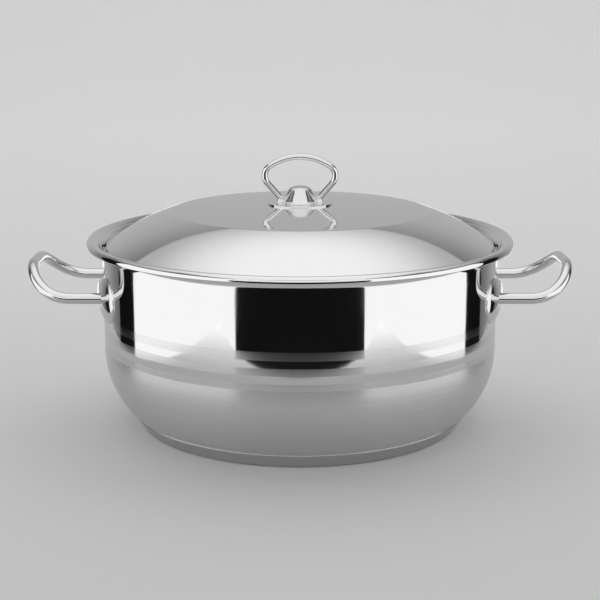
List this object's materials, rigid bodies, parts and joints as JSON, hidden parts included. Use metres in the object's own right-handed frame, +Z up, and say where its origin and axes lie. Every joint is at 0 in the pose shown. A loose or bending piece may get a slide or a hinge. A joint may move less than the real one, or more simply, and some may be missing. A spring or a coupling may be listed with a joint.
{
  "type": "lidded soup pot",
  "caption": "Low, wide steel soup pot with a drop-in domed lid, an upright wire lid loop, rod side handles on pressed brackets and a thick heat-spreading base.",
  "frame": {"origin": "middle of the flat underside of the base", "axes": "+Z up along the pot's axis, +X towards the right side handle, -Y towards the front"},
  "size_m": [0.4414, 0.3465, 0.2201],
  "materials": {
    "pot_steel": "mirror polished, with brushed bands and a satin lower bowl",
    "lid_steel": "mirror polished",
    "polished_steel": "mirror polished round bar",
    "bracket_steel": "polished pressing",
    "base_steel": "satin",
    "core_aluminium": "plain"
  },
  "bodies": {
    "pot": {"pot_shell": "pot_steel", "base_core": "core_aluminium", "base_cap": "base_steel", "left_handle_rod": "polished_steel", "right_handle_rod": "polished_steel", "left_handle_bracket": "bracket_steel", "right_handle_bracket": "bracket_steel"},
    "lid": {"lid_shell": "lid_steel", "lid_bracket": "bracket_steel", "lid_loop": "polished_steel"}
  },
  "joints": [
    {"name": "lid_lift", "type": "slide", "parent": "pot", "child": "lid", "axis": [0, 0, 1], "range_m": [0, 0.15]}
  ]
}
